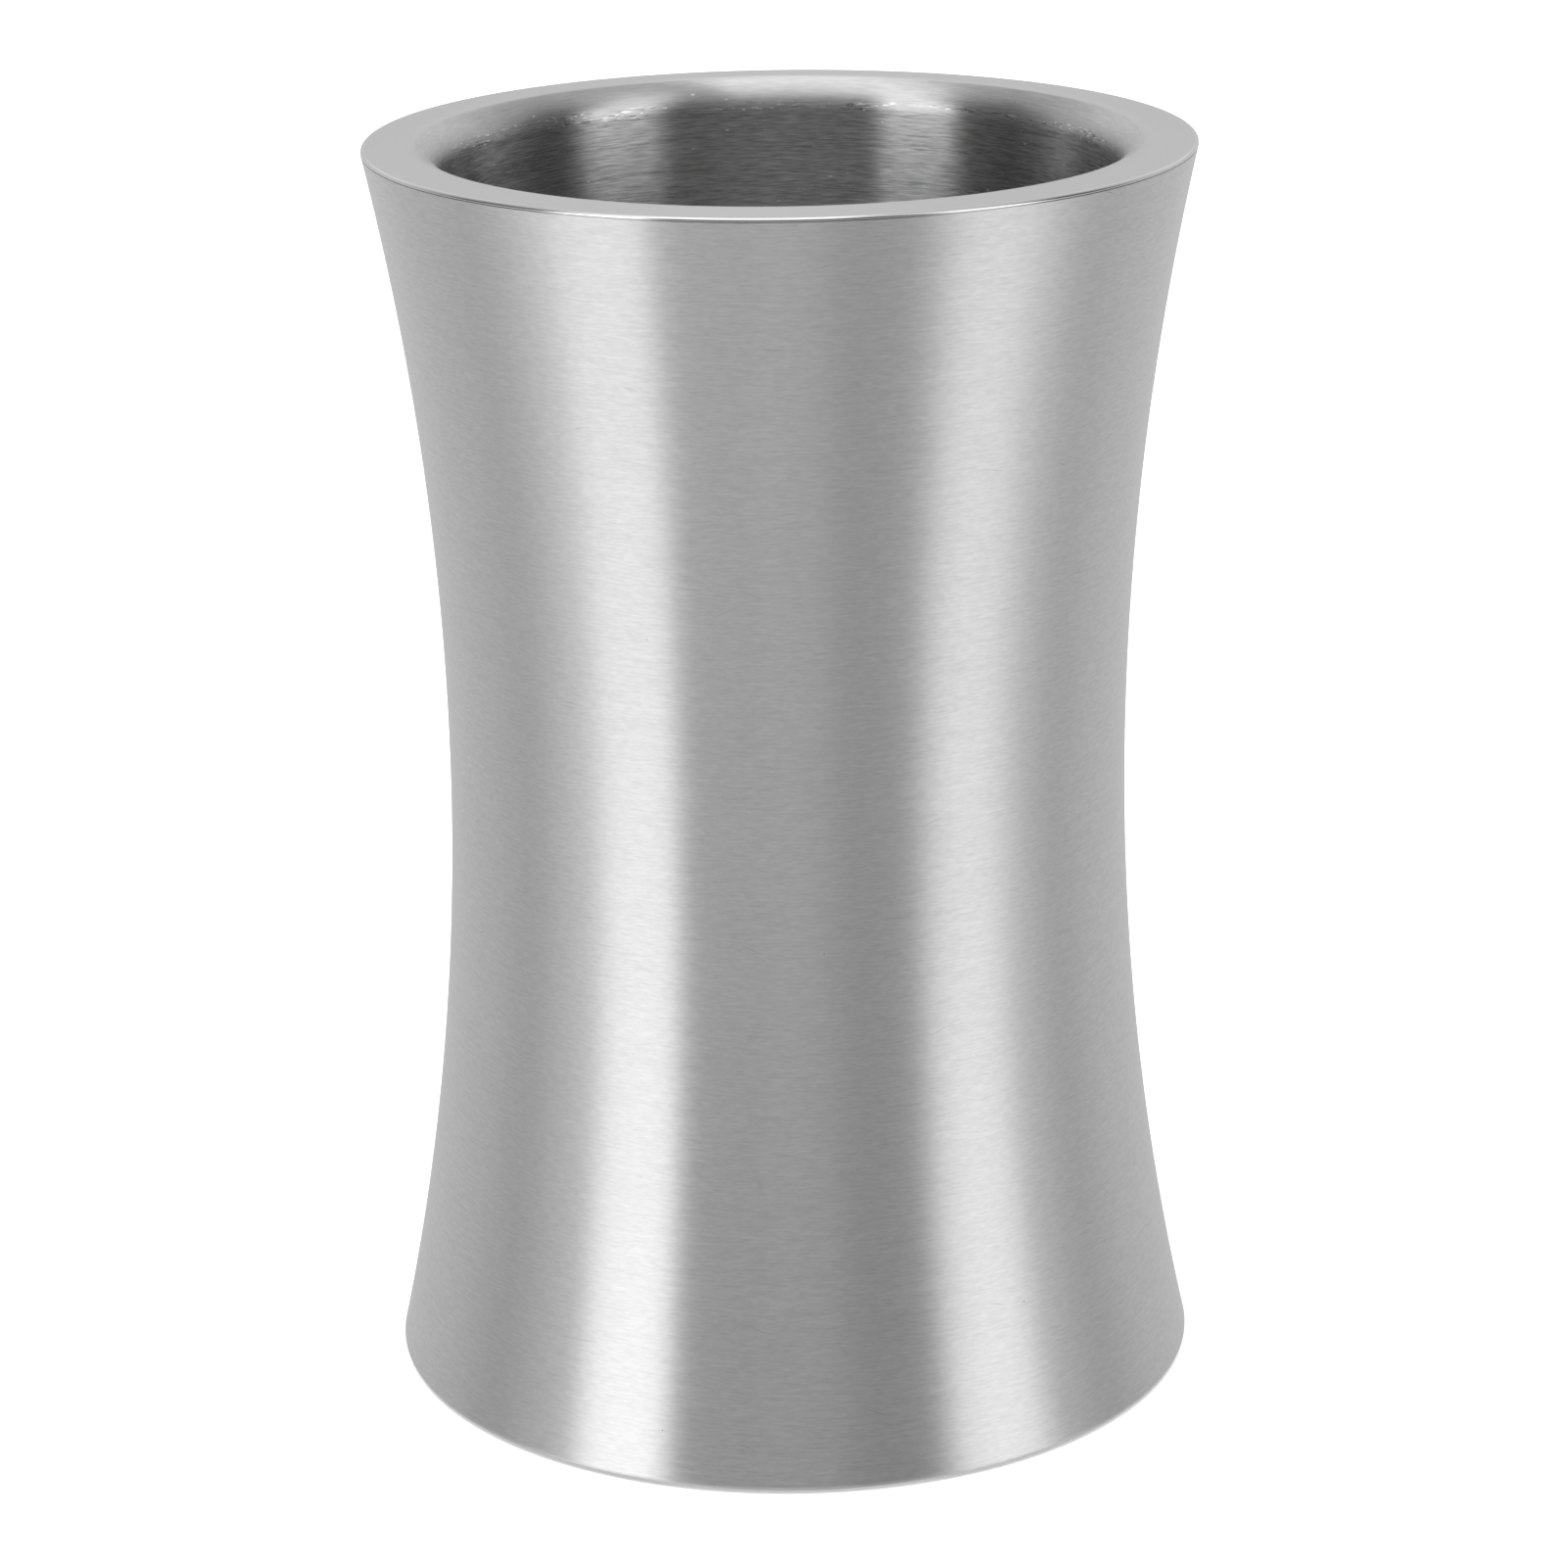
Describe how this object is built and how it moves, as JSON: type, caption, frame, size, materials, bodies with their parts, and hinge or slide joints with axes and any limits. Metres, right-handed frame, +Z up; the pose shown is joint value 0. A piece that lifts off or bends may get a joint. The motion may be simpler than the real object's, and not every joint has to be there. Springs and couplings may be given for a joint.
{
  "type": "bottle cooler",
  "caption": "Waisted double-walled bottle cooler in brushed stainless steel, with a flat turned-in rim, a drawn inner liner and a soft foot ring, standing upright on a table.",
  "frame": {"origin": "centre of the foot, at the height of the table it stands on", "axes": "+Z up along the cooler's axis, out through the mouth; X and Y are free because every piece is a body of revolution"},
  "size_m": [0.1208, 0.1208, 0.185],
  "materials": {
    "shell_steel": "satin",
    "liner_steel": "satin",
    "weld_steel": "polished",
    "base_steel": "satin",
    "plug_silicone": "matte",
    "foot_silicone": "matte",
    "tape": "matte",
    "foam": "matte"
  },
  "bodies": {
    "root": {"outer_shell": "shell_steel", "inner_liner": "liner_steel", "rim_weld": "weld_steel", "base_plate": "base_steel", "base_weld": "weld_steel", "vent_plug": "plug_silicone", "foot_ring": "foot_silicone", "foot_ring_tape": "tape", "drum_pad": "foam"}
  },
  "joints": []
}
